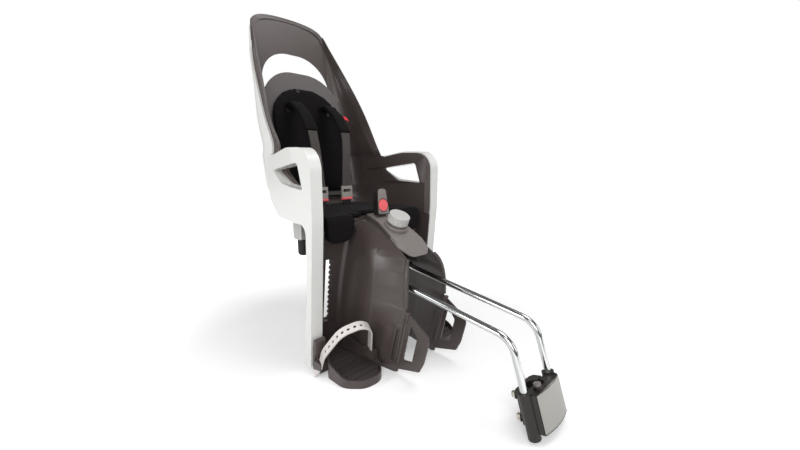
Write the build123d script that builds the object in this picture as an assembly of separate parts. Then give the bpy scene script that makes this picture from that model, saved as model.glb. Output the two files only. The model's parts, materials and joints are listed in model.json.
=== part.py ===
"""Rear child seat for a bicycle: moulded shell, sliding back, footrests and a plug-in frame bracket."""
import os
from math import atan, cos, degrees, hypot, radians, sin

from build123d import *

# Driving dimensions, in millimetres. +X is the child's left, -Y is forward, +Z is up.
# The seat's own layout: forward edge of the rails at armrest height is near y = 120.
half_width = 165.0          # inner face of a side frame where y = rail_ref_y
rail_ref_y = 120.0
side_taper = 0.065          # the sides close in towards the back by this much per mm
frame_thick = 25.0          # white rail, across
frame_rear_thick = 17.0     # white side at its rear end
wall = 4.0                  # moulded shell
channel_wall = 3.0          # leg channels

# Back of the shell: front face of the back at height z is back_ref_y + back_lean * (z - back_ref_z)
back_ref_y = 467.0
back_ref_z = 562.0
back_lean = 0.225
total_height = 834.0
pan_bottom = 308.0
pan_thick = 6.0
pan_front_y = 172.0
tub_front_y = 150.0
tub_rim_z = 386.0           # side wall's rim, below the armrest opening
wing_start_z = 457.0        # wings start above the armrests
wing_rear_y = 300.0         # shell side behind the armrest opening
rim_wide = 10.0             # raised rim round the top of the back
rim_thick = 2.5
cover_thick = 5.0
cover_gap = 0.6

# Armrest loop and rail, seen from the side
arm_top_z = 468.0
arm_end_y = 352.0
rail_foot_y = 162.0
rail_slope = 0.0931         # the rail's front edge comes forward as it rises
rail_top_y = 133.5          # and stands upright below the armrest
rail_break_z = 328.0
rail_foot_z = 10.0
side_bottom_z = 318.0
lining_thick = 8.0
lining_inset = 3.5

# Leg channels
channel_rear_y = 220.0      # rear wall at the floor
channel_slope = 0.13        # rear wall and footrest travel come forward as they rise
slot_x = 121.0
slot_width = 10.0
slot_low_z = 58.0
slot_high_z = 228.0
tooth_pitch = 12.0
tooth_radius = 3.0

# Wheel guards, on a slanted hinge at the front edge of the leg channel
guard_x = 61.5
hinge_low = (35.5, 4.0)
hinge_high = (-0.5, 145.0)
guard_thick = 3.2
knuckle_radius = 4.6
leaf_wide = 24.0            # fixed leaf of the hinge, on the channel's inner panel
leaf_thick = 1.6
bead_radius = 4.5           # rolled front edge of the panel above the hinge
guard_pin_radius = 2.0
run_clearance = 0.05        # radial, for pins and bores that turn or slide
part_gap = 0.5              # between bodies that pass each other
seam = 0.4                  # between mouldings of one body

# Console, knob and buckle
console_thick = 9.0
knob_tilt = 25.0
knob_radius = 23.5
knob_height = 19.0
knob_ribs = 24
collar_radius = 17.5
collar_height = 11.0
foot_radius = 27.0          # collar's foot ring
foot_height = 6.0
spindle_radius = 5.0
buckle_width = 36.0
buckle_height = 60.0
buckle_depth = 15.0
button_radius = 13.5
button_travel = 3.0

# Sliding back
panel_half = 118.0
panel_thick = 8.0
panel_low_z = 344.0
panel_top_z = 678.0
panel_bow = 1000.0          # radius of the panel, seen from above
pad_half = 108.0
pad_thick = 13.0
pad_top_z = 636.0
guide_half = 20.0

lip_end_x = 70.0
lip_outer_x = 145.0
lip_low = 266.0
pad_deep = 12.0

# Harness
strap_x = 51.0
shoulder_width = 35.0
webbing_width = 25.0

# Carrier bar and cradle
rod_x = 44.8
rod_radius = 6.0
rod_ref_z = 185.2           # rod axis at y = 0
rod_slope = 0.1365
rod_corner_y = -211.5
rod_bend = 42.0
rod_rear_y = 262.0
cradle_half = 55.0
pivot_y = 236.0
pivot_z = 258.0
pivot_radius = 6.0
lug_thick = 7.0

# Frame bracket, lying along a bicycle's seat tube
tube_lean = 18.0
tube_radius = 16.0
tube_y = 5.0                # tube axis behind the rods
bracket_half = 46.0
socket_radius = 10.5
socket_low = -42.0
bracket_low = -30.0
bracket_high = 30.0
rod_end = -36.0
jaw_gap = 4.0

# Footrests
tray_low = 0.0
tray_wall = 3.0
tray_front_y = 33.0
tray_inner_x = 74.0
tray_outer_x = 176.0
tray_front_z = 17.0
tray_rear_z = 44.0
strap_wide = 24.0
strap_hole = 3.4
strap_holes = 10
strap_thick = 2.4
strap_gap = 0.25            # round the strap where it passes through the tray


def side_x(y):
    """Half width at the inner face of the side frames."""
    return half_width - (y - rail_ref_y) * side_taper


def back_y(z):
    """Front face of the shell's back."""
    return back_ref_y + back_lean * (z - back_ref_z)


def rail_front(z):
    return max(rail_top_y, rail_foot_y - rail_slope * z)


def channel_rear(z):
    return channel_rear_y - channel_slope * z


def rod_z(y):
    return rod_ref_z + rod_slope * y


def hinge_y(z):
    share = (z - hinge_low[1]) / (hinge_high[1] - hinge_low[1])
    return hinge_low[0] + share * (hinge_high[0] - hinge_low[0])


def shifted(points, gap):
    """Polyline moved sideways, to its right for a positive gap."""
    pts = [Vector(*p) for p in points]
    dirs = [(b - a).normalized() for a, b in zip(pts, pts[1:])]
    sides = [Vector(d.Y, -d.X) for d in dirs]
    moved = [pts[0] + sides[0] * gap]
    for p, n, m in zip(pts[1:-1], sides, sides[1:]):
        moved.append(p + (n + m) * (gap / (1 + n.dot(m))))
    moved.append(pts[-1] + sides[-1] * gap)
    return moved


def turns(points):
    """+1 at each inner corner that turns right, -1 where it turns left."""
    pts = [Vector(*p) for p in points]
    signs = []
    for a, b, c in zip(pts, pts[1:], pts[2:]):
        signs.append(-1 if (b - a).cross(c - b).Z > 0 else 1)
    return signs


def ribbon(points, radii, thick, z=0.0):
    """Strip of even thickness along a rounded polyline, laid to its right."""
    near = FilletPolyline(*points, radius=radii)
    far_radii = [r - thick * s for r, s in zip(radii, turns(points))]
    far = FilletPolyline(*shifted(points, thick), radius=far_radii)
    ends = Line(near @ 0, far @ 0) + Line(near @ 1, far @ 1)
    return Pos(0, 0, z) * make_face(near + far + ends)


def rounded(points, radii):
    """Closed face with rounded corners."""
    return make_face(FilletPolyline(*points, radius=radii, close=True))


def side_solid(face, x_low, x_high):
    """A face drawn as (y, z), carried from x_low to x_high."""
    return Pos(x_low, 0, 0) * extrude(Plane.YZ * face, x_high - x_low)


def other_side(shape):
    return mirror(shape, about=Plane.YZ)


def rod_between(start, end, radius):
    """Round bar between two points."""
    axis = Vector(*end) - Vector(*start)
    return Plane(origin=start, z_dir=axis) * Cylinder(
        radius, axis.length, align=(Align.CENTER, Align.CENTER, Align.MIN)
    )


nodes = {}

# Seat shell. The tub and the part behind the armrests follow the side lines; above them the
# wings run up to the arch, with a flared front edge that fades out towards the top.


def tub_line(z, front, tuck=0.0):
    """U seen from above; tuck draws its rear in, under the seat."""
    rear = back_y(z) + wall - tuck
    half = side_x(rear) - tuck
    return [(-side_x(front), front), (-half, rear), (half, rear), (side_x(front), front)]


corner = 55.0
corners = [corner, corner]
tub_tucks = [
    (pan_bottom, 30.0),
    (pan_bottom + 8, 14.0),
    (pan_bottom + 20, 4.0),
    (pan_bottom + 36, 0.0),
    (tub_rim_z, 0.0),
]
tub = loft([ribbon(tub_line(z, tub_front_y, t), corners, wall, z) for z, t in tub_tucks])
waist = loft([ribbon(tub_line(z, wing_rear_y), corners, wall, z) for z in (tub_rim_z, wing_start_z)])

# One row for each level of the wings: height, half width at the back, half width at the edge,
# edge's y, flare, length of the flare, corner radius
wing_rows = [
    (wing_start_z, side_x(back_y(wing_start_z) + wall), side_x(340), 316.0, 8.0, 24.0, corner),
    (530.0, side_x(back_y(530.0) + wall), 146.0, 354.7, 8.0, 24.0, 54.0),
    (594.0, 138.0, 141.0, 388.0, 7.0, 23.0, 48.0),
    (650.0, 131.5, 134.0, 420.0, 5.0, 20.0, 38.0),
    (700.0, 125.5, 128.0, 452.0, 3.0, 16.0, 25.0),
    (745.0, 119.5, 120.5, 480.0, 1.5, 9.0, 14.0),
    (800.0, 111.0, 111.3, 513.5, 0.6, 3.0, 6.5),
    (850.0, 104.0, 104.2, 525.0, 0.5, 3.0, 6.0),
]


def wing_line(row):
    z, half_rear, half_edge, edge, flare, length, _ = row
    rear = back_y(z) + wall
    left = [(-half_edge - flare, edge), (-half_edge, edge + length), (-half_rear, rear)]
    return left + [(-x, y) for x, y in reversed(left)]


def wing_radii(row):
    return [row[5] / 2, row[6], row[6], row[5] / 2]


def wing_fill(row):
    """All the room inside the wings at one level."""
    edge = FilletPolyline(*wing_line(row), radius=wing_radii(row))
    return Pos(0, 0, row[0]) * make_face(edge + Line(edge @ 1, edge @ 0))


wings = loft([ribbon(wing_line(r), wing_radii(r), wall, r[0]) for r in wing_rows])


def arch_face(inset=0.0, low=400.0):
    """Front view of the back's rounded top."""
    left = [(-136.0, 714.0), (-122.5, 750.0), (-115.5, 784.0), (-100.0, 812.0), (-58.0, 827.0)]
    left = [(x + inset, z + total_height - 830.0 - inset) for x, z in left]
    points = left + [(0.0, total_height - inset)] + [(-x, z) for x, z in reversed(left)]
    side = 170.0
    foot = [(side, points[-1][1]), (side, low), (-side, low), (-side, points[0][1])]
    return make_face(Spline(points) + Polyline(points[-1], *foot, points[0]))


def front_solid(face, y_low, y_high):
    """A face drawn as (x, z), carried from y_low back to y_high."""
    return Pos(0, y_high, 0) * extrude(Plane.XZ * face, y_high - y_low)


wings = wings & front_solid(arch_face(), 250.0, 640.0)

# The rim round the top stands a little proud of the back
rim_low_z = 716.0
rim_plane = Plane(origin=(0, back_y(rim_low_z), rim_low_z), x_dir=(1, 0, 0), z_dir=(0, -1, back_lean))
rim_slab = rim_plane * Pos(0, 80, 0) * Box(400.0, 160.0, 2 * rim_thick)
rim = front_solid(arch_face(0.6) - arch_face(rim_wide), 250.0, 640.0) & rim_slab
rim = rim & loft([wing_fill(r) for r in wing_rows])

helmet_points = [(-103.0, 596.0), (-103.0, 735.0), (103.0, 735.0), (103.0, 596.0)]
helmet_face = rounded(helmet_points, [24.0, 88.0, 88.0, 24.0])
helmet_cut = front_solid(helmet_face, 380.0, 640.0)


def pan_plan(gap):
    """The tub's floor, drawn in by a gap, behind the pan's front edge."""
    floor_line = tub_line(pan_bottom, tub_front_y, tub_tucks[0][1])
    edge = FilletPolyline(*shifted(floor_line, gap), radius=[corner - gap] * 2)
    room = Pos(0, pan_front_y + 200.0) * Rectangle(400.0, 400.0)
    return make_face(edge + Line(edge @ 1, edge @ 0)) & room


pan = Pos(0, 0, pan_bottom) * extrude(pan_plan(wall / 2), pan_thick)

# Lugs under the pan carry the recline pivot
lug_top = pan_bottom + 2
lug_tip = pivot_z - 14
lug_face = rounded(
    [(pivot_y - 24, lug_top), (pivot_y - 13, lug_tip), (pivot_y + 13, lug_tip), (pivot_y + 24, lug_top)],
    [1.0, 12.0, 12.0, 1.0],
)
lug_low = cradle_half + part_gap
lugs = side_solid(lug_face, lug_low, lug_low + lug_thick)
lugs += other_side(lugs)
pivot_hole = rod_between((-200, pivot_y, pivot_z), (200, pivot_y, pivot_z), pivot_radius)

# The sliding back's guide runs in a long slot in the shell
slot_plane = Plane(origin=(0, back_y(300.0), 300.0), x_dir=(1, 0, 0), z_dir=(0, -1, back_lean))
guide_slot = slot_plane * Pos(0, 150, 0) * Box(2 * (guide_half + run_clearance), 260, 30)

seat_shell = tub + waist + wings + rim + pan + lugs - helmet_cut - pivot_hole - guide_slot
nodes["seat_shell"] = seat_shell

# White side frames: armrest loop, side panel and rail in one moulding
frame_face = rounded(
    [
        (rail_front(rail_foot_z), rail_foot_z),
        (rail_top_y, rail_break_z),
        (rail_top_y, arm_top_z - 2),
        (228.0, arm_top_z),
        (arm_end_y, arm_top_z - 20),
        (arm_end_y, side_bottom_z + 38),
        (295.0, side_bottom_z),
        (158.0, side_bottom_z - 3),
        (163.0, 170.0),
        (187.0, 40.0),
        (187.0, rail_foot_z),
    ],
    [6.0, 300.0, 46.0, 160.0, 1.0, 8.0, 40.0, 20.0, 160.0, 30.0, 6.0],
)
opening_face = rounded(
    [(318.0, 421.0), (180.0, 438.0), (164.0, 384.5), (262.0, 393.0)],
    [3.0, 9.0, 3.0, 60.0],
)
frame_plan = make_face(Polyline(
    (-side_x(100.0), 100.0),
    (-side_x(arm_end_y), arm_end_y),
    (-side_x(arm_end_y) - frame_rear_thick, arm_end_y),
    (-half_width - frame_thick, 205.0),
    (-half_width - frame_thick, 100.0),
    close=True,
))
side_frame = side_solid(frame_face - opening_face, -260.0, -100.0) & extrude(frame_plan, 520.0)
nodes["side_frame_left"] = side_frame

# Dark lining on the inner face of each armrest, with a blunt bar running back over the wing
lining_opening = rounded(
    [(297.0, 423.0), (181.0, 438.0), (164.0, 385.0), (245.0, 390.0)],
    [3.0, 9.0, 3.0, 50.0],
)
lining_face = offset(frame_face, -lining_inset) - lining_opening
lining_front = tub_front_y - 1.0
lining_rear = wing_rear_y - seam
lining_keep = make_face(Polyline(
    (80.0, pan_bottom), (lining_front, pan_bottom), (lining_front, tub_rim_z), (lining_rear, tub_rim_z),
    (lining_rear, 500.0), (80.0, 500.0), close=True,
))


def side_slab(x_in, x_out, y_low, y_high):
    """Plan of a slab that follows the side line between two depths inside it."""
    return make_face(Polyline(
        (-side_x(y_low) + x_in, y_low), (-side_x(y_high) + x_in, y_high),
        (-side_x(y_high) + x_out, y_high), (-side_x(y_low) + x_out, y_low), close=True,
    ))


lining = side_solid(lining_face & lining_keep, -200.0, -100.0)
edge_y = rail_top_y + 2
full_y = rail_top_y + 16
lining_plan = make_face(Polyline(
    (-side_x(edge_y), edge_y), (-side_x(320.0), 320.0), (-side_x(320.0) + lining_thick, 320.0),
    (-side_x(full_y) + lining_thick, full_y), close=True,
))
lining = lining & extrude(lining_plan, 520.0)
bar_face = rounded([(wing_rear_y - 2, 426.0), (wing_rear_y - 2, 456.0), (362.0, 447.5), (358.0, 420.5)],
                   [0.5, 0.5, 3.0, 3.0])
bar = side_solid(bar_face, -200.0, -100.0)
bar = bar & extrude(side_slab(lining_thick, wall * hypot(1, side_taper), 250.0, 400.0), 520.0)
nodes["arm_lining_left"] = lining + bar

# White back cover, wrapped round the shell from the arm ends and along the wings


def cover_line(row):
    z, half_rear, half_edge, edge, _, length, _ = row
    rear = back_y(z) + wall
    left = [(-half_edge, edge + length), (-half_rear, rear)]
    return shifted(left + [(-x, y) for x, y in reversed(left)], -cover_thick - cover_gap)


def cover_loft(rows):
    grow = cover_thick + cover_gap
    return loft([ribbon(cover_line(r), [r[6] + grow] * 2, cover_thick, r[0]) for r in rows])


low_row = (side_bottom_z, side_x(back_y(side_bottom_z) + wall), side_x(300.0), 276.0, 0.0, 24.0, corner)
mid_row = (wing_start_z, side_x(back_y(wing_start_z) + wall), side_x(340.0), 316.0, 0.0, 24.0, corner)
cover_low = cover_loft([low_row, mid_row])
cover_high = cover_loft(wing_rows) & front_solid(arch_face(3.0), 250.0, 640.0)
cover_edge = Spline(
    [(arm_end_y, wing_start_z - 9), (392.0, 551.0), (447.0, 640.0), (480.0, 702.0), (506.0, 790.0)]
)
cover_foot = side_bottom_z + 62
cover_side = make_face(cover_edge + Polyline(
    cover_edge @ 1, (512.0, 900.0), (640.0, 900.0), (640.0, cover_foot), (400.0, cover_foot),
    (arm_end_y, side_bottom_z + 38), cover_edge @ 0,
))
cover_hole = front_solid(offset(helmet_face, 8.0), 380.0, 660.0)
back_cover = (cover_low + cover_high) & side_solid(cover_side, -260.0, 260.0)
nodes["back_cover"] = back_cover - cover_hole - guide_slot

# Leg channels: outer wall beside the rail, rear wall with a toothed slot, and a convex inner panel
# that leans in under the console. One row for each level: height, panel's rear x, its middle (x, y)
# and its front edge (x, y)
channel_rows = [
    (0.0, 80.0, 75.0, 120.0, 60.0, hinge_y(0.0)),
    (hinge_high[1], 78.0, 75.0, 101.0, 60.0, hinge_y(hinge_high[1])),
]
upper_rows = [
    (hinge_high[1], 78.0, 75.0, 101.0, 60.0, 7.0),
    (188.0, 75.0, 72.0, 98.0, 58.5, 7.5),
    (220.0, 72.0, 69.0, 100.0, 53.0, 12.0),
    (243.0, 69.0, 66.0, 104.0, 40.0, 21.0),
    (258.0, 66.5, 63.0, 108.0, 38.0, 45.0),
    (288.0, 58.0, 53.0, 128.0, 33.0, 95.0),
    (315.0, 36.0, 32.0, 134.0, 22.0, 112.0),
]
channel_radii = [14.0, 16.0, 110.0]


def channel_line(row):
    z, rear_x, mid_x, mid_y, edge_x, edge_y = row
    rear = channel_rear(z)
    front = rail_front(z) + 3.0
    outer = [(-side_x(front), front), (-side_x(rear), rear)]
    return outer + [(-rear_x, rear), (-mid_x, mid_y), (-edge_x, edge_y)]


def channel_loft(rows, start, thick):
    """Wall of the channel between two depths, measured from its wheel side."""
    faces = []
    for row in rows:
        line = channel_line(row)
        radii = [r - start * s for r, s in zip(channel_radii, turns(line))]
        faces.append(ribbon(shifted(line, start), radii, thick, row[0]))
    return loft(faces, ruled=True)


channel = channel_loft(channel_rows, 0.0, channel_wall) + channel_loft(upper_rows, 0.0, channel_wall)

# Rolled front edge above the hinge
bead_path = Spline([(-62.0, 7.0, 150.0), (-60.5, 7.5, 188.0), (-55.0, 12.5, 220.0), (-42.0, 22.0, 243.0)])
bead = sweep(Plane(origin=bead_path @ 0, z_dir=bead_path % 0) * Circle(bead_radius), path=bead_path)
channel += bead

# Console plate: a saddle between the legs, thick at its front lip
console_top = [(190.0, 322.0), (150.0, 317.5), (96.0, 297.0), (46.0, 267.5), (18.0, 252.5)]
console_low = [(y, z - console_thick) for y, z in console_top]
console_side = make_face(
    Spline(console_top) + Spline(console_low)
    + Line(console_top[0], console_low[0]) + Line(console_top[-1], console_low[-1])
)
console_half = [(22.0, pan_front_y - seam), (26.0, 150.0), (34.0, 96.0), (39.0, 54.0), (28.0, 22.0)]
console_plan = rounded(
    [(-x, y) for x, y in console_half] + [(x, y) for x, y in reversed(console_half)],
    [4.0, 40.0, 80.0, 24.0, 18.0, 18.0, 24.0, 80.0, 40.0, 4.0],
)
console = side_solid(console_side, -60.0, 60.0) & extrude(console_plan, 400.0)

under_console = make_face(
    Spline(console_low) + Line(console_low[-1], (-60.0, console_low[-1][1] - 28.0))
    + Polyline((-60.0, console_low[-1][1] - 28.0), (-60.0, -1.0), (260.0, -1.0), (260.0, pan_bottom),
               (console_low[0][0], pan_bottom), console_low[0])
)
channel_keep = make_face(Polyline(
    (-60.0, -1.0), (260.0, -1.0), (260.0, pan_bottom), (tub_front_y, pan_bottom),
    (tub_front_y, 330.0), (-60.0, 330.0), close=True,
))
channel = channel & side_solid(under_console, -200.0, 0.0) & side_solid(channel_keep, -200.0, 0.0)
channel -= Pos(-150.0, 150.0, pan_bottom + 50.0) * Box(110.0, 300.0, 100.0)

# Toothed slot, along the footrest's travel
slide_lean = degrees(atan(channel_slope))
slot_mid_z = (slot_low_z + slot_high_z) / 2
slot_place = Pos(-slot_x, channel_rear(slot_mid_z), slot_mid_z) * Rot(slide_lean, 0, 0)
slot_length = (slot_high_z - slot_low_z) / cos(radians(slide_lean))
slot_cut = Box(slot_width, 30, slot_length)
tooth = Rot(90, 0, 0) * Cylinder(tooth_radius, 30)
tooth_count = int(slot_length / tooth_pitch) - 1
for k in range(tooth_count):
    slot_cut += Pos(slot_width / 2, 0, (k - (tooth_count - 1) / 2) * tooth_pitch) * tooth
channel = channel - slot_place * slot_cut

# Hinge along the channel's front edge: end knuckles on the channel, the long one on the guard
hinge_a = Vector(-guard_x, hinge_low[0], hinge_low[1])
hinge_b = Vector(-guard_x, hinge_high[0], hinge_high[1])
hinge_axis = hinge_b - hinge_a


def on_hinge(share):
    return hinge_a + hinge_axis * share


def beside_hinge(z, away):
    return (hinge_y(z) + away, z)


leaf_face = rounded(
    [beside_hinge(8, 3), beside_hinge(8, leaf_wide), beside_hinge(110, leaf_wide), beside_hinge(120, 3)],
    [1.0, 4.0, 6.0, 1.0],
)
leaf_slot = rounded(
    [beside_hinge(26, 9), beside_hinge(26, 17), beside_hinge(98, 17), beside_hinge(98, 9)], [2.0] * 4
)
leaf = channel_loft(channel_rows, channel_wall - 0.5, leaf_thick + 0.5) & side_solid(leaf_face, -110.0, -50.0)
channel = channel + leaf - side_solid(leaf_slot, -110.0, -50.0)
channel += rod_between(on_hinge(0.0), on_hinge(0.15), knuckle_radius)
channel += rod_between(on_hinge(0.85), on_hinge(1.0), knuckle_radius)
channel -= rod_between(on_hinge(0.15), on_hinge(0.85), knuckle_radius + 1.5)
channel -= rod_between(on_hinge(-0.1), on_hinge(1.1), guard_pin_radius)
nodes["leg_channel_left"] = channel
nodes["guard_pin_left"] = rod_between(on_hinge(0.0), on_hinge(1.0), guard_pin_radius)

guard_outline = [
    (hinge_y(9.0), 9.0), (-30.0, 27.0), (-42.0, 50.0), (-54.0, 97.0), (-52.0, 110.0),
    (-2.0, 141.0), (hinge_y(140.0), 140.0),
]
guard_face = rounded(guard_outline, [0.5, 5.0, 60.0, 8.0, 6.0, 0.5, 0.5])
window_face = rounded([(-6.0, 121.0), (-25.0, 98.0), (-11.0, 41.0), (14.0, 36.0)], [2.0, 4.0, 3.0, 3.0])
guard = side_solid(guard_face - window_face, -guard_x - guard_thick / 2, -guard_x + guard_thick / 2)
guard -= rod_between(on_hinge(-0.1), on_hinge(0.155), knuckle_radius + 0.6)
guard -= rod_between(on_hinge(0.845), on_hinge(1.1), knuckle_radius + 0.6)
guard += rod_between(on_hinge(0.155), on_hinge(0.845), knuckle_radius)
guard -= rod_between(on_hinge(-0.1), on_hinge(1.1), guard_pin_radius + run_clearance)
nodes["wheel_guard_left"] = guard

# Knob on its collar, square to the console
knob_foot = Vector(0, 97.0, 298.5)
tilt = radians(knob_tilt)
knob_plane = Plane(origin=knob_foot, x_dir=(1, 0, 0), z_dir=(0, -sin(tilt), cos(tilt)))
base = (Align.CENTER, Align.CENTER, Align.MIN)
spindle_hole = knob_plane * Pos(0, 0, -22) * Cylinder(spindle_radius + run_clearance, 60, align=base)
front_end = console_top[-1]
rear_end = console_top[0]
console_block = side_solid(make_face(
    Spline(console_top) + Polyline(front_end, (front_end[0], 200.0), (rear_end[0], 200.0), rear_end)
), -60.0, 60.0)
collar_foot = Pos(0, 0, -10) * Cylinder(foot_radius, foot_height + 10, align=base)
collar_foot = fillet(collar_foot.edges().filter_by(GeomType.CIRCLE).sort_by(Axis.Z)[-1], 2.5)
collar = collar_foot + Pos(0, 0, -10) * Cylinder(collar_radius, collar_height + 10, align=base)
nodes["knob_collar"] = knob_plane * collar - console_block - spindle_hole
nodes["console_plate"] = console - spindle_hole
knob = Cylinder(knob_radius, knob_height, align=base)
knob = fillet(knob.edges().filter_by(GeomType.CIRCLE).sort_by(Axis.Z)[-1], 2.0)
groove = Pos(0, 0, -1) * Cylinder(1.6, knob_height - 2, align=base)
knob -= PolarLocations(knob_radius + 0.6, knob_ribs) * groove
knob += Pos(0, 0, -16) * Cylinder(spindle_radius, 18, align=base)
nodes["recline_knob"] = knob_plane * Pos(0, 0, collar_height + part_gap) * knob

# Seat pad with two lips that roll over the pan's front edge
pad_low = pan_bottom + pan_thick
seat_pad = Pos(0, 0, pad_low) * extrude(pan_plan(wall + 3.0), pad_deep)
pad_high = pad_low + pad_deep
lip_rear = pan_front_y + 12
lip_nose = pan_front_y - 21
lip_face = rounded(
    [(lip_rear, pad_high), (lip_nose, pad_high), (lip_nose, lip_low), (pan_front_y, lip_low),
     (pan_front_y, pad_low + 2), (lip_rear, pad_low + 2)],
    [1.0, 14.0, 9.0, 9.0, 0.5, 0.5],
)
lip_front = rounded(
    [(-lip_outer_x, lip_low - 1), (-lip_end_x, lip_low - 1), (-lip_end_x, pad_low + 40),
     (-lip_outer_x, pad_low + 40)],
    [26.0, 38.0, 1.0, 1.0],
)
lips = side_solid(lip_face, -lip_outer_x, -lip_end_x) & front_solid(lip_front, 100.0, 220.0)
seat_pad += lips + other_side(lips)
seat_pad -= Pos(0, pan_front_y, pad_low) * Box(2 * 32.0, 36.0, 80)
nodes["seat_pad"] = seat_pad

# Buckle on its short strap in front of the pad
buckle_plane = Plane(origin=(0, 143.0, 320.0), x_dir=(1, 0, 0), z_dir=(0, 0.14, 1))
buckle_half = buckle_width / 2
top_half = buckle_half - 5
buckle_shape = rounded(
    [(-buckle_half, 0), (buckle_half, 0), (top_half, buckle_height), (-top_half, buckle_height)],
    [5.0, 5.0, 9.0, 9.0],
)
buckle = front_solid(buckle_shape, -buckle_depth / 2, buckle_depth / 2)
button_seat = Pos(0, -buckle_depth / 2, button_radius + 8) * Rot(90, 0, 0)
buckle -= button_seat * Cylinder(button_radius + 0.4, 2 * (button_travel + 3.5))
button = button_seat * Pos(0, 0, -1.0) * Cylinder(button_radius, 4.0)
nodes["buckle_body"] = buckle_plane * buckle
nodes["buckle_button"] = buckle_plane * button
crotch = buckle_plane * Box(25.0, 2.5, 28.0, align=(Align.CENTER, Align.CENTER, Align.MAX))
nodes["crotch_strap"] = crotch
nodes["console_plate"] -= crotch

# Sliding back panel and pad, bowed round the child's back
panel_plane = slot_plane
lean_cos = cos(atan(back_lean))


def up(z):
    """Distance up the back for a height."""
    return (z - 300.0) / lean_cos


def bowed(low_n, thick):
    """A plate bowed forward at both sides, standing on the back's plane."""
    reach = 150.0
    rise = reach * reach / (2 * panel_bow)
    near = ThreePointArc((-reach, low_n + rise), (0, low_n), (reach, low_n + rise))
    high_n = low_n + thick
    far = ThreePointArc((-reach, high_n + rise), (0, high_n), (reach, high_n + rise))
    face = make_face(near + far + Line(near @ 0, far @ 0) + Line(near @ 1, far @ 1))
    return Pos(0, 600, 0) * extrude(Plane.XZ * face, 700.0)


def arched(half, low, high, top):
    return rounded([(-half, low), (half, low), (half, high), (-half, high)], [26.0, 26.0, top, top])


panel_low = 6.0
panel_face = arched(panel_half, up(panel_low_z), up(panel_top_z), 100.0)
panel = extrude(panel_face, 90.0) & bowed(panel_low, panel_thick)
guide = Pos(0, up(panel_low_z) + 40, 0) * Box(2 * guide_half, 70, 2 * (panel_low + 2.5) + 3.0)
panel_body = panel + guide
pad = extrude(arched(pad_half, up(panel_low_z) + 6, up(pad_top_z), 94.0), 120.0)
pad = pad & bowed(panel_low + panel_thick, pad_thick)
studs = Part()
for x, z in ((-63.0, 566.0), (63.0, 566.0), (-22.0, 622.0)):
    n = panel_low + panel_thick + pad_thick + x * x / (2 * panel_bow)
    studs += Pos(x, up(z), n - 1.5) * Cylinder(5.0, 4.5, align=base)
pad -= studs
nodes["back_panel"] = panel_plane * panel_body
nodes["back_pad"] = panel_plane * pad
nodes["back_studs"] = panel_plane * studs

# Harness: each strap leaves the pad at a shoulder, runs through a shoulder pad and hangs to its tongue
pad_front = panel_low + panel_thick + pad_thick + strap_x * strap_x / (2 * panel_bow)


def on_pad(z, lift):
    """(y, z) of a point in front of the pad at a shoulder."""
    depth = (pad_front + lift) / lean_cos
    return (back_y(z) - depth, z)


shoulder_start = on_pad(592.0, 1.6)
shoulder_bend = (shoulder_start[0] - 30, shoulder_start[1] + 4)
shoulder_line = [shoulder_start, shoulder_bend, (370.0, 563.0), (338.0, 520.0)]
shoulder_face = ribbon(shoulder_line, [30.0, 60.0], -9.0)
shoulder_half = shoulder_width / 2
shoulder_pad = side_solid(shoulder_face, -strap_x - shoulder_half, -strap_x + shoulder_half)
behind_pad = extrude(Pos(0, 350) * Rectangle(300, 900), 120.0) & bowed(panel_low, panel_thick + pad_thick)
nodes["shoulder_pad_left"] = shoulder_pad - panel_plane * behind_pad
hang = [(339.5, 517.0), (333.0, 470.0), (331.0, 376.3)]
strap_face = ribbon(hang, [300.0], -2.5)
strap_half = webbing_width / 2
nodes["harness_strap_left"] = side_solid(strap_face, -strap_x - strap_half, -strap_x + strap_half)
adjuster = Box(34.0, 6.0, 30.0, align=(Align.CENTER, Align.CENTER, Align.MAX))
adjuster -= Pos(0, 0, -12.0) * Box(26.0, 10.0, 8.0)
adjuster = fillet(adjuster.edges().filter_by(Axis.Y), 2.0)
hang_place = Pos(-strap_x, 330.0, 376.0)
nodes["strap_adjuster_left"] = hang_place * adjuster
lever = Box(34.0, 8.0, 7.0, align=(Align.CENTER, Align.CENTER, Align.MAX))
lever = fillet(lever.edges().filter_by(Axis.X), 2.0)
nodes["adjuster_lever_left"] = hang_place * Pos(0, 0, -30.0) * lever
tongue = Box(24.0, 5.0, 11.5, align=(Align.CENTER, Align.CENTER, Align.MAX))
tongue = fillet(tongue.edges().filter_by(Axis.Y).sort_by(Axis.Z)[:2], 5.0)
nodes["latch_tongue_left"] = hang_place * Pos(0, 0, -37.0) * tongue

# Carrier bar: one bent rod, from the bracket up and back to a bend under the seat
lean = radians(tube_lean)
bar_corner = (rod_x, rod_corner_y, rod_z(rod_corner_y))
down = (0.0, -sin(lean), -cos(lean))
drop = 155.0
bar_end = tuple(c + d * drop for c, d in zip(bar_corner, down))
rear_corner = (rod_x, rod_rear_y, rod_z(rod_rear_y))
half_path = [bar_end, bar_corner, rear_corner]
bar_points = half_path + [(-x, y, z) for x, y, z in reversed(half_path)]
bar_path = FilletPolyline(*bar_points, radius=[rod_bend, 36.0, 36.0, rod_bend])
bar_start = Plane(origin=bar_path @ 0, z_dir=bar_path % 0)
carrier_bar = sweep(bar_start * Circle(rod_radius), path=bar_path)
nodes["carrier_bar"] = carrier_bar

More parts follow.
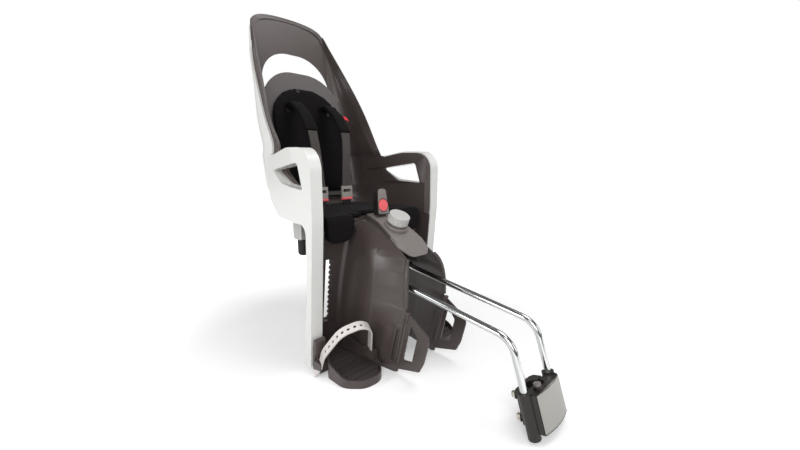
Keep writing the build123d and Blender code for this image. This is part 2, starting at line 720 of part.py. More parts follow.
# Cradle that holds the bar and turns on the pivot under the pan
cradle_front = 112.0
cradle_rear = rod_rear_y + 14
cradle_face = rounded(
    [(cradle_front, rod_z(cradle_front) - 13), (cradle_front, rod_z(cradle_front) + 17),
     (200.0, rod_z(200.0) + 22), (pivot_y - 8, pivot_z + 14), (pivot_y + 14, pivot_z + 14),
     (cradle_rear, rod_z(rod_rear_y) + 10), (cradle_rear, rod_z(rod_rear_y) - 13)],
    [8.0, 8.0, 30.0, 12.0, 12.0, 10.0, 8.0],
)
cradle = side_solid(cradle_face, -cradle_half, cradle_half)
for x in (-rod_x, rod_x):
    boss = rod_between((x, 96.0, rod_z(96.0)), (x, 116.0, rod_z(116.0)), rod_radius + 4.0)
    cradle += boss
cradle -= Pos(0, 150.0, 0) * Box(2 * (rod_x - 16.0), 110.0, 600.0)
cradle -= carrier_bar
cradle -= rod_between((-80, pivot_y, pivot_z), (80, pivot_y, pivot_z), pivot_radius + run_clearance)
nodes["carrier_cradle"] = cradle
nodes["pivot_pin"] = rod_between(
    (-lug_low - lug_thick, pivot_y, pivot_z), (lug_low + lug_thick, pivot_y, pivot_z), pivot_radius
)

# Bracket, drawn upright with the rods at y = 0 and then leaned to the seat tube
bracket_plane = Plane(
    origin=(0, bar_corner[1] + down[1] * (drop + rod_end), bar_corner[2] + down[2] * (drop + rod_end)),
    x_dir=(1, 0, 0), z_dir=(0, sin(lean), cos(lean)),
)
bracket_tall = bracket_high - bracket_low
bracket_mid = (bracket_high + bracket_low) / 2
body_front = -19.0
body_rear = tube_y - jaw_gap / 2
body_plan = rounded(
    [(-bracket_half, body_front), (bracket_half, body_front), (bracket_half, body_rear),
     (-bracket_half, body_rear)],
    [8.0, 8.0, 2.0, 2.0],
)
body = Pos(0, 0, bracket_low) * extrude(body_plan, bracket_tall)
socket = Pos(0, 0, socket_low) * Cylinder(socket_radius, bracket_high + 3 - socket_low, align=base)
socket = fillet(socket.edges().filter_by(GeomType.CIRCLE).sort_by(Axis.Z)[0], 4.0)
socket_hole = Pos(0, 0, rod_end - 1.0) * Cylinder(rod_radius + run_clearance, 120, align=base)
tube = Pos(0, tube_y, -100) * Cylinder(tube_radius, 200, align=base)
lock_place = Pos(-18.5, -11.0, bracket_high)
lock_radius = 6.0
lock_hole = lock_place * Pos(0, 0, -7.5) * Cylinder(lock_radius + run_clearance, 40, align=base)
lock_boss = lock_place * Cylinder(lock_radius + 2.5, 5.0, align=base)
body += lock_boss - Pos(0, tube_y, bracket_high) * Cylinder(tube_radius + 1.4, 10.0, align=base)
for x in (-rod_x, rod_x):
    body += Pos(x, 0, 0) * socket
for x in (-rod_x, rod_x):
    body -= Pos(x, 0, 0) * socket_hole
body -= tube
body -= lock_hole
nodes["lock_button"] = bracket_plane * lock_place * Pos(0, 0, -3.0) * Cylinder(lock_radius, 13.0, align=base)

# Jaw, pressure plates and bolts behind the tube
jaw_half = 33.5
jaw_low_y = tube_y + jaw_gap / 2
jaw_back_y = 27.0
jaw_plan = rounded(
    [(-jaw_half, jaw_low_y), (jaw_half, jaw_low_y), (jaw_half, jaw_back_y - 4),
     (jaw_half - 8, jaw_back_y), (-jaw_half + 8, jaw_back_y), (-jaw_half, jaw_back_y - 4)],
    [2.0, 2.0, 3.0, 3.0, 3.0, 3.0],
)
jaw = Pos(0, 0, bracket_low + 2) * extrude(jaw_plan, bracket_tall - 4) - tube
bolt_x = 25.0
bolt_z = 19.0
plate_thick = 2.5
plates = Part()
bolts = Part()
bolt_tip = -14.0
for z in (-bolt_z, bolt_z):
    plate = extrude(RectangleRounded(2 * bolt_x + 14, 13.0, 3.0), plate_thick)
    plates += Pos(0, jaw_back_y, z) * Rot(-90, 0, 0) * plate
    for x in (-bolt_x, bolt_x):
        bolt_place = Pos(x, jaw_back_y + plate_thick, z) * Rot(-90, 0, 0)
        shank_length = jaw_back_y + plate_thick - bolt_tip
        shank = Pos(0, 0, -shank_length) * Cylinder(3.0, shank_length, align=base)
        bolts += bolt_place * (shank + extrude(RegularPolygon(5.5, 6), 5.0))
body -= bolts
jaw -= bolts
plates -= bolts
nodes["clamp_jaw"] = bracket_plane * jaw
nodes["clamp_plates"] = bracket_plane * plates
nodes["clamp_bolts"] = bracket_plane * bolts

# Bowed cover on the front, standing on a sill of the body
cover_half = 42.0
cover_bow = 5.5
sill_low = bracket_low - 3.0
cover_low_z = sill_low + 1.5
cover_arc = ThreePointArc((-cover_half, body_front), (0, body_front - cover_bow), (cover_half, body_front))
cover_plan = make_face(cover_arc + Line(cover_arc @ 0, cover_arc @ 1))
sill = Pos(0, 0, sill_low) * extrude(cover_plan, cover_low_z - sill_low)
sill_foot = Rectangle(2 * cover_half, 7.0, align=(Align.CENTER, Align.MIN))
sill += Pos(0, body_front, sill_low) * extrude(sill_foot, bracket_low - sill_low)
nodes["bracket_body"] = bracket_plane * (body + sill)
cover_tall = bracket_high - 1.0 - cover_low_z
nodes["bracket_cover"] = bracket_plane * Pos(0, 0, cover_low_z) * extrude(cover_plan, cover_tall)

# Rear bar under the pan, with rubber bumpers
rear_bar = rounded(
    [(324.0, 247.0), (364.0, 247.0), (364.0, pan_bottom), (324.0, pan_bottom)], [8.0, 8.0, 0.5, 0.5]
)
nodes["rear_housing"] = side_solid(rear_bar, -104.0, 104.0)
bumper = Pos(-90.0, 344.0, 205.0) * extrude(Ellipse(12.0, 14.0), 42.0)
bumper = fillet(bumper.edges().group_by(Axis.Z)[0], 8.0)
nodes["rear_bumper_left"] = bumper

# Footrests: a tapered tray with a tall back that runs up the channel on a toothed guide
tray_rear = channel_rear(tray_rear_z) - channel_wall - part_gap
tray_points = [
    (-tray_outer_x, tray_front_y + 34), (-tray_outer_x + 30, tray_front_y + 2),
    (-tray_inner_x - 30, tray_front_y), (-tray_inner_x - 1, tray_front_y + 36),
    (-tray_inner_x - 7, 116.0), (-tray_inner_x - 18, tray_rear - 3),
    (-side_x(tray_rear) + 16, tray_rear - 3), (-side_x(140) + channel_wall + 4, 150.0),
    (-tray_outer_x, 118.0),
]
tray_radii = [40.0, 36.0, 34.0, 40.0, 40.0, 14.0, 12.0, 10.0, 8.0]
tray_face = rounded(tray_points, tray_radii)
tray = extrude(tray_face, 60.0)
tray_room = Pos(0, 0, 6.0) * extrude(offset(tray_face, -tray_wall), 60.0)
tray_top = make_face(Polyline(
    (0.0, -1.0), (0.0, tray_front_z), (tray_front_y + 30, tray_front_z), (150.0, tray_rear_z),
    (260.0, tray_rear_z), (260.0, -1.0), close=True,
))
tray = (tray - tray_room) & side_solid(tray_top, -240.0, 0.0)
plate_top = 82.0
lug_z = plate_top - 8.0
rear_plate = rounded(
    [(-147.0, 2.0), (-96.0, 2.0), (-96.0, plate_top), (-147.0, plate_top)], [2.0, 2.0, 22.0, 22.0]
)
plate_place = Pos(0, channel_rear(0.0) - channel_wall - 2 * part_gap, 0) * Rot(slide_lean, 0, 0)
tray += plate_place * front_solid(rear_plate, -6.0, 0.0)
lug = Pos(0, 6.0, 0) * Box(slot_width - 2 * run_clearance, 14.0, 14.0)
lug += Pos(0, 9.5, 0) * Box(slot_width + 12, 5.0, 18.0)
tray += plate_place * Pos(-slot_x, 0, lug_z) * lug
sole_face = offset(tray_face, -tray_wall - 2.0)
sole = Pos(0, 0, 6.0) * extrude(sole_face, 4.0)
for k in range(7):
    sole -= Pos(-124.0, 62.0 + 18.0 * k, 10.0) * Box(120.0, 5.0, 3.0)
nodes["foot_sole_left"] = sole

# Perforated strap over the foot, from the outer wall to the inner wall
strap_a = Vector(-176.0, 145.5)
strap_b = Vector(-84.0, 106.0)
strap_dir = (strap_b - strap_a).normalized()
strap_tip = radians(18.0)
strap_up = Vector(strap_dir.Y * sin(strap_tip), -strap_dir.X * sin(strap_tip), cos(strap_tip))
strap_plane = Plane(origin=(strap_a.X, strap_a.Y, 0), x_dir=strap_dir, z_dir=strap_dir.cross(strap_up))
arc_line = [
    (-15.0, 6.0), (-3.0, 20.0), (2.0, 52.0), (36.0, 104.0), (80.0, 118.0), (102.0, 104.0), (106.0, 32.0),
]
arc_radii = [12.0, 50.0, 50.0, 30.0, 18.0]
strap_edge = FilletPolyline(*arc_line, radius=arc_radii)
strap_profile = ribbon(arc_line, arc_radii, strap_thick)
strap = Pos(0, 0, -strap_wide / 2) * extrude(strap_profile, strap_wide)
for k in range(strap_holes):
    share = 0.18 + 0.055 * k
    spot = strap_edge @ share
    along = strap_edge % share
    hole = Plane(origin=(spot.X, spot.Y, 0), x_dir=(0, 0, 1), z_dir=(-along.Y, along.X, 0))
    strap -= hole * Cylinder(strap_hole, 12.0)
nodes["foot_strap_left"] = strap_plane * strap

# Ears on the tray's walls that the strap passes through
strap_room = extrude(offset(strap_profile, strap_gap), strap_wide + 2 * strap_gap)
ear_face = rounded(
    [(157.5, 9.0), (154.5, 57.0), (150.0, 80.0), (143.0, 72.0), (145.0, 50.0), (151.5, 29.0), (129.0, 29.0),
     (129.0, 9.0)],
    [1.0, 6.0, 2.0, 4.0, 20.0, 1.0, 3.0, 2.0],
)
tray += side_solid(ear_face, -187.0, -163.0)
tray += Pos(-85.0, 93.0, 33.0) * Box(14.0, 32.0, 18.0)
tray -= strap_plane * Pos(0, 0, -strap_wide / 2 - strap_gap) * strap_room
nodes["footrest_left"] = tray

for name in [n for n in nodes if n.endswith("_left")]:
    nodes[name[: -len("left")] + "right"] = other_side(nodes[name])

# The part stands on the floor with its origin under the middle of its box
box = Compound(children=[Compound(s.solids()) for s in nodes.values()]).bounding_box()
to_origin = Pos(-box.center().X, -box.center().Y, -box.min.Z)

os.makedirs("parts", exist_ok=True)
for name, shape in nodes.items():
    solids = shape.solids()
    whole = solids[0] if len(solids) == 1 else Compound(solids)
    export_step(to_origin * whole, "parts/" + name + ".step")
print("moved by", round(-box.center().X, 3), round(-box.center().Y, 3), round(-box.min.Z, 3))
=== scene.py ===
import json
from math import radians

import bpy
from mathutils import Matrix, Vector

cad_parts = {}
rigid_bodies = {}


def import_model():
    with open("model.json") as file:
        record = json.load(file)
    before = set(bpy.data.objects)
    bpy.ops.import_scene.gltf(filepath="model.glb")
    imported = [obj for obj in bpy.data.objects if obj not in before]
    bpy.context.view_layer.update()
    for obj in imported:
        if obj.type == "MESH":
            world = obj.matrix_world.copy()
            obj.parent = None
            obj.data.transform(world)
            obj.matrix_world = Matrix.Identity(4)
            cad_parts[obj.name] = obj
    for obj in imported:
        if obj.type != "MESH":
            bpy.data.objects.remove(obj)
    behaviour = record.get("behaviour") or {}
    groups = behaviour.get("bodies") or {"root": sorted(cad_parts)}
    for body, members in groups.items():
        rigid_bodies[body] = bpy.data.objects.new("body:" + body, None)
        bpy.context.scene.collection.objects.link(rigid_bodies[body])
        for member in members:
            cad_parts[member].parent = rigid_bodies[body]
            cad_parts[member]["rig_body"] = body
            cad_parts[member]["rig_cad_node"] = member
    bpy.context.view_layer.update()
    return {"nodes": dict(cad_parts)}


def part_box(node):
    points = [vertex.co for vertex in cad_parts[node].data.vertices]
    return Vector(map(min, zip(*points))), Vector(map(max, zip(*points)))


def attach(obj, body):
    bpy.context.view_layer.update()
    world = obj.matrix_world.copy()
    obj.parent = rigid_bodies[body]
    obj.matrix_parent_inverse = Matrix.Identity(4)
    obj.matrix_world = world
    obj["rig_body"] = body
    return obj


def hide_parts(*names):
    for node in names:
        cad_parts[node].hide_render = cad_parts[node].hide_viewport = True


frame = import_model()


# Seat shell: one large moulding in dark grey polypropylene, with the back, the wings and the tub.
# Its mould has a fine spark-eroded grain, so it shines softly, and every edge has a small radius.
def linear(hex_colour):
    """An sRGB hex colour as linear RGBA."""
    channels = [int(hex_colour[i:i + 2], 16) / 255 for i in (1, 3, 5)]
    return [c / 12.92 if c <= 0.04045 else ((c + 0.055) / 1.055) ** 2.4 for c in channels] + [1.0]


def add_node(tree, kind, inputs=None, links=None, **settings):
    """Adds a node with its settings, its socket values and the sockets that feed it."""
    node = tree.nodes.new(kind)
    for name, value in settings.items():
        setattr(node, name, value)
    for name, value in (inputs or {}).items():
        node.inputs[name].default_value = value
    for name, socket in (links or {}).items():
        tree.links.new(socket, node.inputs[name])
    return node


def moulded_plastic(name, colour, roughness, grain_mm=0.9, depth_mm=0.03):
    """A moulded thermoplastic: its own colour all over, and the mould's grain as a fine bump.

    Real grain is finer, and is drawn as coarse as it needs to show.
    """
    material = bpy.data.materials.new(name)
    material.use_nodes = True
    tree = material.node_tree
    shader = tree.nodes["Principled BSDF"]
    shader.inputs["Base Color"].default_value = linear(colour)
    shader.inputs["Roughness"].default_value = roughness
    shader.inputs["IOR"].default_value = 1.49
    place = add_node(tree, "ShaderNodeTexCoord")
    grain = add_node(
        tree, "ShaderNodeTexNoise", {"Scale": 1000 / grain_mm, "Detail": 2.0},
        {"Vector": place.outputs["Object"]},
    )
    bump = add_node(
        tree, "ShaderNodeBump", {"Strength": 0.35, "Distance": depth_mm / 1000},
        {"Height": grain.outputs[0]},
    )
    tree.links.new(bump.outputs["Normal"], shader.inputs["Normal"])
    return material


def copy_of(node, suffix):
    """A merged copy of a CAD node, with flat faces made whole again."""
    merge_distance = 0.00002
    flat_angle = radians(0.02)
    bpy.ops.object.select_all(action="DESELECT")
    solid = frame["nodes"][node]
    solid.select_set(True)
    bpy.context.view_layer.objects.active = solid
    bpy.ops.object.duplicate()
    piece = bpy.context.object
    piece.name = node + suffix
    piece.data.name = piece.name
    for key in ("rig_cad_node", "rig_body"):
        del piece[key]
    bpy.ops.object.parent_clear(type="CLEAR_KEEP_TRANSFORM")
    piece.data.materials.clear()
    bpy.ops.object.mode_set(mode="EDIT")
    bpy.ops.mesh.select_all(action="SELECT")
    bpy.ops.mesh.remove_doubles(threshold=merge_distance)
    bpy.ops.mesh.dissolve_limited(angle_limit=flat_angle)
    bpy.ops.object.mode_set(mode="OBJECT")
    return piece


def stand_for(piece, node):
    """The piece moves with its node's body and is shown in its place."""
    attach(piece, frame["nodes"][node]["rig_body"])
    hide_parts(node)


def round_edges(piece, width, **settings):
    """Rounds the active piece's edges with a bevel of two segments."""
    rounding = piece.modifiers.new("edges", "BEVEL")
    rounding.width = width
    rounding.segments = 2
    for name, value in settings.items():
        setattr(rounding, name, value)
    bpy.ops.object.modifier_apply(modifier=rounding.name)


def finish(nodes, material, edge_mm, flats=True):
    """Rounds the edges of moulded or machined pieces and gives them their finish."""
    sharp_angle = radians(38)
    smooth_angle = radians(32)
    for node in nodes:
        piece = copy_of(node, "_piece")
        if edge_mm:
            round_edges(piece, edge_mm / 1000, limit_method="ANGLE", angle_limit=sharp_angle)
        bpy.ops.object.shade_smooth_by_angle(angle=smooth_angle)
        if flats:
            even = piece.modifiers.new("even", "WEIGHTED_NORMAL")
            even.keep_sharp = True
            bpy.ops.object.modifier_apply(modifier=even.name)
        piece.data.materials.append(material)
        stand_for(piece, node)


def both(*names):
    """The left and the right node of each name."""
    return [name + side for name in names for side in ("_left", "_right")]


dark_polypropylene = moulded_plastic("dark grey polypropylene, fine grain", "#4d4442", 0.34)
finish(["seat_shell"], dark_polypropylene, 1.2)

# Armrest linings and leg channels: the same dark polypropylene, clipped to the shell's sides.
# The channels' convex inner panels catch a long soft highlight.
finish(both("arm_lining"), dark_polypropylene, 0.9)
finish(both("leg_channel"), dark_polypropylene, 0.9, flats=False)

# Painted shade in the hinge slots: a thin dark sheet sits inside the long slot beside each guard's hinge,
# where the slot shows only shade.
# The sheet lies in the channel's wall and slants with the hinge, so no floor shows through the slot and
# it reads dark.
shade_sheet_thick = 0.0012
shade_sheet_wide = 0.009
shade_sheet_long = 0.074
shade_sheet_out = 0.0623            # from the middle of the seat
shade_sheet_y = -0.094
shade_sheet_z = 0.062
wall_slant = 0.173          # the channel's wall leans out by this much per metre back
hinge_slant = 0.2553        # the hinge leans forward by this much per metre up
for side, outward in (("_left", -1.0), ("_right", 1.0)):
    bpy.ops.object.select_all(action="DESELECT")
    bpy.ops.mesh.primitive_cube_add(size=1.0, location=(0, 0, 0))
    shade_sheet = bpy.context.object
    shade_sheet.name = "leg_channel" + side + "_shade_sheet"
    for vertex in shade_sheet.data.vertices:
        along, across = vertex.co.z * shade_sheet_long, vertex.co.y * shade_sheet_wide
        vertex.co = (
            outward * (shade_sheet_out + wall_slant * across) + shade_sheet_thick * vertex.co.x,
            across + shade_sheet_y - hinge_slant * along,
            shade_sheet_z + along,
        )
    bpy.ops.object.shade_flat()
    shade_sheet.data.materials.append(dark_polypropylene)
    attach(shade_sheet, frame["nodes"]["leg_channel" + side]["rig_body"])

# Side frames and back cover: white polypropylene with a smoother, semi-gloss mould.
# They snap over the shell from outside, with generous radii along the rails.
white_polypropylene = moulded_plastic(
    "white polypropylene, semi-gloss", "#f0f0ed", 0.3, grain_mm=1.2, depth_mm=0.01
)
finish(both("side_frame"), white_polypropylene, 3.0)
finish(["back_cover"], white_polypropylene, 1.2)


# Console: a grey saddle plate between the legs, with the knob's collar on it. A dark skirt under its
# edge closes the seam to the leg channels. The knob is pale grey nylon, ribbed, and turns on its spindle.
def swell(piece, by):
    """Moves the active piece's surface outwards, or inwards where the distance is negative."""
    outwards = piece.modifiers.new("outwards", "DISPLACE")
    outwards.strength = by
    outwards.mid_level = 0.0
    bpy.ops.object.modifier_apply(modifier=outwards.name)


console_grey = moulded_plastic("grey polypropylene, satin", "#857e7b", 0.4)
skirt_out = 0.0045
skirt_drop = 0.006
skirt_front_y = -0.05
skirt = copy_of("console_plate", "_skirt")
swell(skirt, skirt_out)
bpy.ops.object.mode_set(mode="EDIT")
bpy.ops.mesh.select_all(action="SELECT")
bpy.ops.transform.translate(value=(0, 0, -skirt_drop))
bpy.ops.mesh.bisect(plane_co=(0, skirt_front_y, 0), plane_no=(0, 1, 0), use_fill=True, clear_inner=True)
bpy.ops.object.mode_set(mode="OBJECT")
bpy.ops.object.shade_smooth_by_angle(angle=radians(32))
skirt.data.materials.append(dark_polypropylene)
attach(skirt, frame["nodes"]["console_plate"]["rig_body"])
finish(["console_plate", "knob_collar"], console_grey, 1.6)
pale_nylon = moulded_plastic("pale grey nylon, matt", "#cccbc8", 0.5)
finish(["recline_knob"], pale_nylon, 0.5)

# Rear bar and its bumpers, under the tub. The bar is pale moulded nylon, as matt as the knob.
# The bumpers are black rubber, which hardly shines.
finish(["rear_housing"], pale_nylon, 1.5)
black_rubber = moulded_plastic("black rubber, matt", "#1b1a1a", 0.75, grain_mm=1.5, depth_mm=0.05)
finish(both("rear_bumper"), black_rubber, 1.0)

# Sliding back: a grey moulded panel that carries the padded back and the harness.
# Its satin mould looks lighter than the shell. Black nylon studs hold the pad on it.
panel_grey = moulded_plastic("mid grey polypropylene, satin", "#625d5c", 0.42)
finish(["back_panel"], panel_grey, 2.2)
black_nylon = moulded_plastic("black glass-filled nylon", "#231e1c", 0.45)
finish(["back_studs"], black_nylon, 0.6)


# Padded back, seat pad and shoulder pads: foam in a black woven cover. The foam swells the cover,
# so the pads are inflated as cloth, with each point kept near the solid.
def woven(name, colour, thread_mm, roughness):
    """A woven cover: two crossed sets of threads as a bump, with a faint sheen.

    Real threads are about six times finer, and are drawn as coarse as they need to show.
    """
    wave_phase = 20.0       # a wave texture's radians in a metre, at scale 1
    material = bpy.data.materials.new(name)
    material.use_nodes = True
    tree = material.node_tree
    shader = tree.nodes["Principled BSDF"]
    shader.inputs["Base Color"].default_value = linear(colour)
    shader.inputs["Roughness"].default_value = roughness
    shader.inputs["Sheen Weight"].default_value = 0.05
    shader.inputs["Sheen Roughness"].default_value = 0.4
    shader.inputs["Specular IOR Level"].default_value = 0.15
    place = add_node(tree, "ShaderNodeTexCoord")
    warp, weft = [
        add_node(
            tree, "ShaderNodeTexWave", {"Scale": 1000 / thread_mm / wave_phase, "Distortion": 0.6},
            {"Vector": place.outputs["Object"]}, bands_direction=direction,
        )
        for direction in ("X", "Z")
    ]
    threads = add_node(
        tree, "ShaderNodeMath", None, {0: warp.outputs["Fac"], 1: weft.outputs["Fac"]}, operation="ADD"
    )
    bump = add_node(
        tree, "ShaderNodeBump", {"Strength": 0.4, "Distance": 0.0003}, {"Height": threads.outputs[0]}
    )
    tree.links.new(bump.outputs["Normal"], shader.inputs["Normal"])
    return material


def inflate(node, material, voxel_mm, cap_mm, draw_in_mm):
    """A foam pad: its solid drawn in a little, remeshed and blown up again as cloth."""
    pressure = 4.0
    steps = 20
    pad = copy_of(node, "_cushion")
    low_corner, high_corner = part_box(node)
    grid = pad.modifiers.new("grid", "REMESH")
    grid.mode = "VOXEL"
    grid.voxel_size = voxel_mm / 1000
    bpy.ops.object.modifier_apply(modifier=grid.name)
    swell(pad, -draw_in_mm / 1000)
    rest = [v.co.copy() for v in pad.data.vertices]
    cloth = pad.modifiers.new("cover", "CLOTH")
    cloth.settings.use_pressure = True
    cloth.settings.uniform_pressure_force = pressure
    cloth.settings.quality = 4
    cloth.settings.effector_weights.gravity = 0.0
    for step in range(1, steps + 1):
        bpy.context.scene.frame_set(step)
    bpy.ops.object.modifier_apply(modifier=cloth.name)
    bpy.context.scene.frame_set(1)
    for vertex, was in zip(pad.data.vertices, rest):
        move = vertex.co - was
        vertex.co = was + move * min(1.0, cap_mm / 1000 / max(move.length, 1e-9))
    soft = pad.modifiers.new("soft", "SMOOTH")
    soft.factor = 0.5
    soft.iterations = 3
    bpy.ops.object.modifier_apply(modifier=soft.name)
    finer = pad.modifiers.new("finer", "SUBSURF")
    finer.levels = 1
    finer.render_levels = 1
    bpy.ops.object.modifier_apply(modifier=finer.name)
    for vertex in pad.data.vertices:
        vertex.co = [min(max(c, low), high) for c, low, high in zip(vertex.co, low_corner, high_corner)]
    bpy.ops.object.shade_smooth()
    pad.data.materials.append(material)
    stand_for(pad, node)


black_cover = woven("black polyester cover, woven", "#0f0c0d", thread_mm=1.6, roughness=0.85)
inflate("back_pad", black_cover, voxel_mm=5.0, cap_mm=4.0, draw_in_mm=1.0)
inflate("seat_pad", black_cover, voxel_mm=4.0, cap_mm=3.0, draw_in_mm=1.0)
for node in both("shoulder_pad"):
    inflate(node, black_cover, voxel_mm=2.2, cap_mm=1.5, draw_in_mm=0.4)

# Red tab: a short ribbon, folded once and sewn into the outer seam of the right shoulder pad.
# It is a bright, slightly shiny weave, and its free end curls down a little.
red_ribbon = woven("red polyester ribbon", "#dc3f4a", thread_mm=0.8, roughness=0.7)
tab_out = 0.012
tab_thick = 0.0022
tab_high = 0.013
tab_edge = 0.0007
tab_tilt = radians(-40)
tab_y = 0.2405
tab_z = 0.559
curl_down = 0.004
curl_forward = 0.002
seam_depth = 0.001
tab_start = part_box("shoulder_pad_right")[1][0] - seam_depth
bpy.ops.object.select_all(action="DESELECT")
bpy.ops.mesh.primitive_cube_add(
    size=1.0, location=(tab_start + tab_out / 2, tab_y, tab_z), rotation=(tab_tilt, 0, 0)
)
tab = bpy.context.object
tab.name = "shoulder_tab"
tab.scale = (tab_out, tab_thick, tab_high)
bpy.ops.object.transform_apply(location=True, rotation=True, scale=True)
bpy.ops.object.mode_set(mode="EDIT")
bpy.ops.mesh.select_all(action="SELECT")
bpy.ops.mesh.subdivide(number_cuts=4)
bpy.ops.object.mode_set(mode="OBJECT")
for vertex in tab.data.vertices:
    share = (vertex.co.x - tab_start) / tab_out
    vertex.co.z -= curl_down * share ** 2
    vertex.co.y -= curl_forward * share ** 2
round_edges(tab, tab_edge)
bpy.ops.object.shade_smooth_by_angle(angle=radians(40))
tab.data.materials.append(red_ribbon)
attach(tab, frame["nodes"]["shoulder_pad_right"]["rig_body"])

# Harness: two webbing straps hang from the shoulder pads to ladder adjusters with red levers.
# The webbing is dull dark grey polyester. The adjusters are pale acetal, and the levers a glossier red.
grey_webbing = woven("grey polyester webbing", "#524d4b", thread_mm=1.2, roughness=0.7)
finish(both("harness_strap") + ["crotch_strap"], grey_webbing, 0.5)
pale_acetal = moulded_plastic("pale grey acetal", "#a8a49f", 0.35)
finish(both("strap_adjuster"), pale_acetal, 0.8)
red_acetal = moulded_plastic("red acetal, glossy", "#ff6f76", 0.25, grain_mm=2.0, depth_mm=0.005)
finish(both("adjuster_lever"), red_acetal, 0.8)
finish(both("latch_tongue"), black_nylon, 0.8)

# Loose ends of the harness: they hang free, so they lean in towards the buckle, more on the left.
# Each strap takes its adjuster, lever and tongue along.
strap_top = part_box("harness_strap_left")[1][2]
strap_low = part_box("harness_strap_left")[0][2]
for side, lean_mm in (("_left", 14.0), ("_right", -9.0)):
    for name in ("harness_strap", "strap_adjuster", "adjuster_lever", "latch_tongue"):
        for vertex in bpy.data.objects[name + side + "_piece"].data.vertices:
            share = (strap_top - vertex.co.z) / (strap_top - strap_low)
            vertex.co.x += lean_mm / 1000 * min(max(share, 0.0), 1.0)

# Buckle: a black nylon body with a grey front plate and a big round red button.
# The plate is a thin moulding snapped on in front, set in from the edges and from the button.
buckle_front = Vector((0, -1, 0.14)).normalized()
plate_inset = 0.0016
plate_thick = 0.001
plate_edge = 0.0004
front_margin = 0.0002
faces_front = 0.99          # cosine of the angle to the front
plate = copy_of("buckle_body", "_plate")
front_depth = max(vertex.co.dot(buckle_front) for vertex in plate.data.vertices) - front_margin
bpy.ops.object.mode_set(mode="EDIT")
bpy.ops.mesh.select_mode(type="FACE")
bpy.ops.mesh.select_all(action="DESELECT")
bpy.ops.object.mode_set(mode="OBJECT")
for face in plate.data.polygons:
    turned_away = face.normal.dot(buckle_front) < faces_front
    face.select = turned_away or face.center.dot(buckle_front) < front_depth
bpy.ops.object.mode_set(mode="EDIT")
bpy.ops.mesh.delete(type="FACE")
bpy.ops.mesh.select_all(action="SELECT")
bpy.ops.mesh.inset(thickness=plate_inset, use_boundary=True)
bpy.ops.mesh.select_all(action="INVERT")
bpy.ops.mesh.delete(type="FACE")
bpy.ops.object.mode_set(mode="OBJECT")
wall = plate.modifiers.new("wall", "SOLIDIFY")
wall.thickness = plate_thick
wall.offset = 1.0
bpy.ops.object.modifier_apply(modifier=wall.name)
round_edges(plate, plate_edge)
bpy.ops.object.shade_smooth_by_angle(angle=radians(35))
plate.data.materials.append(console_grey)
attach(plate, frame["nodes"]["buckle_body"]["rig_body"])
finish(["buckle_body"], black_nylon, 2.0)
finish(["buckle_button"], red_acetal, 0.9)


# Carrier bar: one steel rod bent cold, polished and chrome plated, so it mirrors the studio in stripes.
# It is held in a black moulded cradle that turns on a pin under the seat.
def bare_metal(name, colour, roughness):
    """A polished or plated metal."""
    material = bpy.data.materials.new(name)
    material.use_nodes = True
    shader = material.node_tree.nodes["Principled BSDF"]
    shader.inputs["Base Color"].default_value = linear(colour)
    shader.inputs["Metallic"].default_value = 1.0
    shader.inputs["Roughness"].default_value = roughness
    return material


chrome_plate = bare_metal("chrome plated steel", "#c4c6c5", 0.12)
finish(["carrier_bar"], chrome_plate, 0)
finish(["carrier_cradle"], black_nylon, 1.2)
zinc_plate = bare_metal("zinc plated steel", "#bdb8ae", 0.32)
finish(["pivot_pin"] + both("guard_pin"), zinc_plate, 0.3)

# Frame bracket: a black nylon block that clamps the seat tube with zinc plated bolts, duller than chrome.
# The cover plate in front is painted silver, with some metal flake, so its shine is soft.
finish(["bracket_body", "clamp_jaw"], black_nylon, 1.0)
silver_paint = moulded_plastic("silver painted cover", "#a8a6a1", 0.35, grain_mm=1.0, depth_mm=0.01)
silver_paint.node_tree.nodes["Principled BSDF"].inputs["Metallic"].default_value = 0.55
finish(["bracket_cover"], silver_paint, 1.0)
finish(["clamp_plates", "clamp_bolts"], zinc_plate, 0.5)
finish(["lock_button"], console_grey, 0.8)

# Footrests: dark polypropylene trays that slide on the leg channels, each with a dull rubber tread.
# A pale perforated strap of soft thermoplastic rubber goes over the foot.
finish(both("footrest"), dark_polypropylene, 1.4)
sole_rubber = moulded_plastic("dark grey rubber, ribbed", "#433d3c", 0.6, grain_mm=1.5, depth_mm=0.05)
finish(both("foot_sole"), sole_rubber, 0.6)
strap_rubber = moulded_plastic("pale thermoplastic rubber", "#e4dedb", 0.55, grain_mm=1.0, depth_mm=0.01)
finish(both("foot_strap"), strap_rubber, 0.5)

# Wheel guards: flat plates in the shell's dark polypropylene, with a window in each.
# They swing on a slanted hinge at the front edge of the leg channels.
finish(both("wheel_guard"), dark_polypropylene, 0.8)

# Studio floor: white paint that keeps a soft shadow near the seat and fades to pure white further out.
# The camera and mirrored rays see the glow, and other rays see a plain matt floor.
fade_start = 0.45
fade_end = 1.1
near_glow = 0.3
bpy.ops.object.select_all(action="DESELECT")
bpy.ops.mesh.primitive_plane_add(size=12.0, location=(0, 0, 0))
floor = bpy.context.object
floor.name = "studio_floor"
floor_paint = bpy.data.materials.new("white studio floor")
floor_paint.use_nodes = True
tree = floor_paint.node_tree
tree.nodes.clear()
rays = add_node(tree, "ShaderNodeLightPath")
seen = add_node(
    tree, "ShaderNodeMath", None, {0: rays.outputs["Is Camera Ray"], 1: rays.outputs["Is Glossy Ray"]},
    operation="MAXIMUM",
)
place = add_node(tree, "ShaderNodeTexCoord")
away = add_node(tree, "ShaderNodeVectorMath", None, {0: place.outputs["Object"]}, operation="LENGTH")
fade = add_node(
    tree, "ShaderNodeMapRange",
    {"From Min": fade_start, "From Max": fade_end, "To Min": near_glow, "To Max": 1.0},
    {"Value": away.outputs["Value"]},
)
matt = add_node(tree, "ShaderNodeBsdfDiffuse", {"Color": linear("#bcbcbc")})
paint = add_node(tree, "ShaderNodeBsdfDiffuse", {"Color": linear("#efefef")})
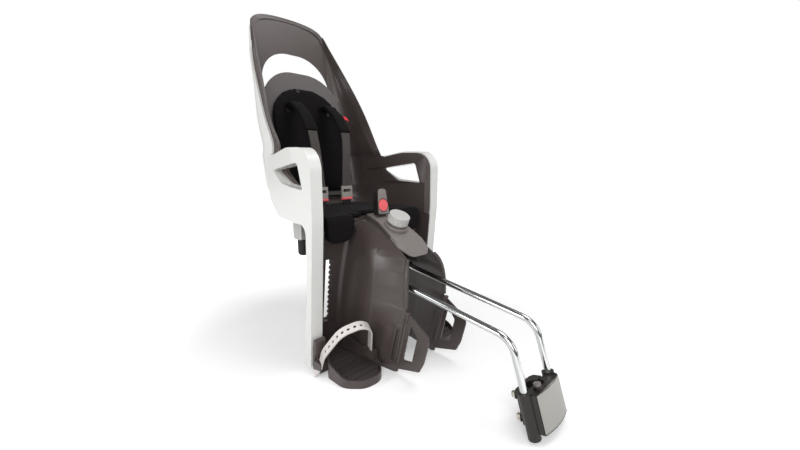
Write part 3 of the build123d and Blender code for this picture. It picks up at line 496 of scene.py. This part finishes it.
glow = add_node(tree, "ShaderNodeEmission", {"Color": linear("#ffffff")}, {"Strength": fade.outputs[0]})
lit = add_node(tree, "ShaderNodeAddShader", None, {0: paint.outputs[0], 1: glow.outputs[0]})
chosen = add_node(
    tree, "ShaderNodeMixShader", None, {0: seen.outputs[0], 1: matt.outputs[0], 2: lit.outputs[0]}
)
add_node(tree, "ShaderNodeOutputMaterial", None, {"Surface": chosen.outputs[0]})
floor.data.materials.append(floor_paint)

# Surround: pure white where the camera looks at it, and a dim even light for everything else.
# It lightens the shaded sides a little and leaves the modelling to the lamps.
world = bpy.data.worlds.new("white surround")
bpy.context.scene.world = world
world.use_nodes = True
tree = world.node_tree
tree.nodes.clear()
rays = add_node(tree, "ShaderNodeLightPath")
seen = add_node(
    tree, "ShaderNodeMath", None,
    {0: rays.outputs["Is Camera Ray"], 1: rays.outputs["Is Transmission Ray"]}, operation="MAXIMUM",
)
white = add_node(tree, "ShaderNodeBackground", {"Color": linear("#ffffff"), "Strength": 1.0})
dim = add_node(tree, "ShaderNodeBackground", {"Color": linear("#ffffff"), "Strength": 0.2})
chosen = add_node(
    tree, "ShaderNodeMixShader", None, {0: seen.outputs[0], 1: dim.outputs[0], 2: white.outputs[0]}
)
add_node(tree, "ShaderNodeOutputWorld", None, {"Surface": chosen.outputs[0]})

# Lamps: soft boxes overhead, in front and to both sides, a strip for the wings and a weak fill behind.
# One row for each: name, place, side in metres, power in watts. All of them face the seat's middle.
lamp_aim = Vector((0, 0, 0.35))
for name, place, size, watts in (
    ("overhead softbox", (0.4, -0.55, 2.25), 1.2, 19.0),
    ("left softbox", (-1.9, 0.4, 0.58), 0.5, 9.0),
    ("front softbox", (-1.6, -1.4, 1.35), 1.4, 26.0),
    ("right softbox", (0.9, -1.9, 1.0), 1.0, 7.0),
    ("rear fill", (1.3, 1.9, 1.5), 1.2, 5.0),
    ("wing strip", (-1.45, 1.0, 1.3), 0.6, 4.5),
):
    bpy.ops.object.light_add(type="AREA", location=place)
    lamp = bpy.context.object
    lamp.name = name
    lamp.data.shape = "SQUARE"
    lamp.data.size = size
    lamp.data.energy = watts
    lamp.rotation_euler = (lamp_aim - Vector(place)).to_track_quat("-Z", "Y").to_euler()

# Camera: close to the seat with a wide lens, a little above its middle.
# It looks slightly down, from in front and from the left frame's side.
camera_place = (-0.555, -0.59068, 0.436)
camera_turn = (radians(80.3), 0, radians(-45.39))
bpy.ops.object.camera_add(location=camera_place, rotation=camera_turn)
camera = bpy.context.object
camera.data.sensor_width = 36.0
camera.data.lens = 16.2
bpy.context.scene.camera = camera
bpy.context.scene.view_settings.view_transform = "Standard"
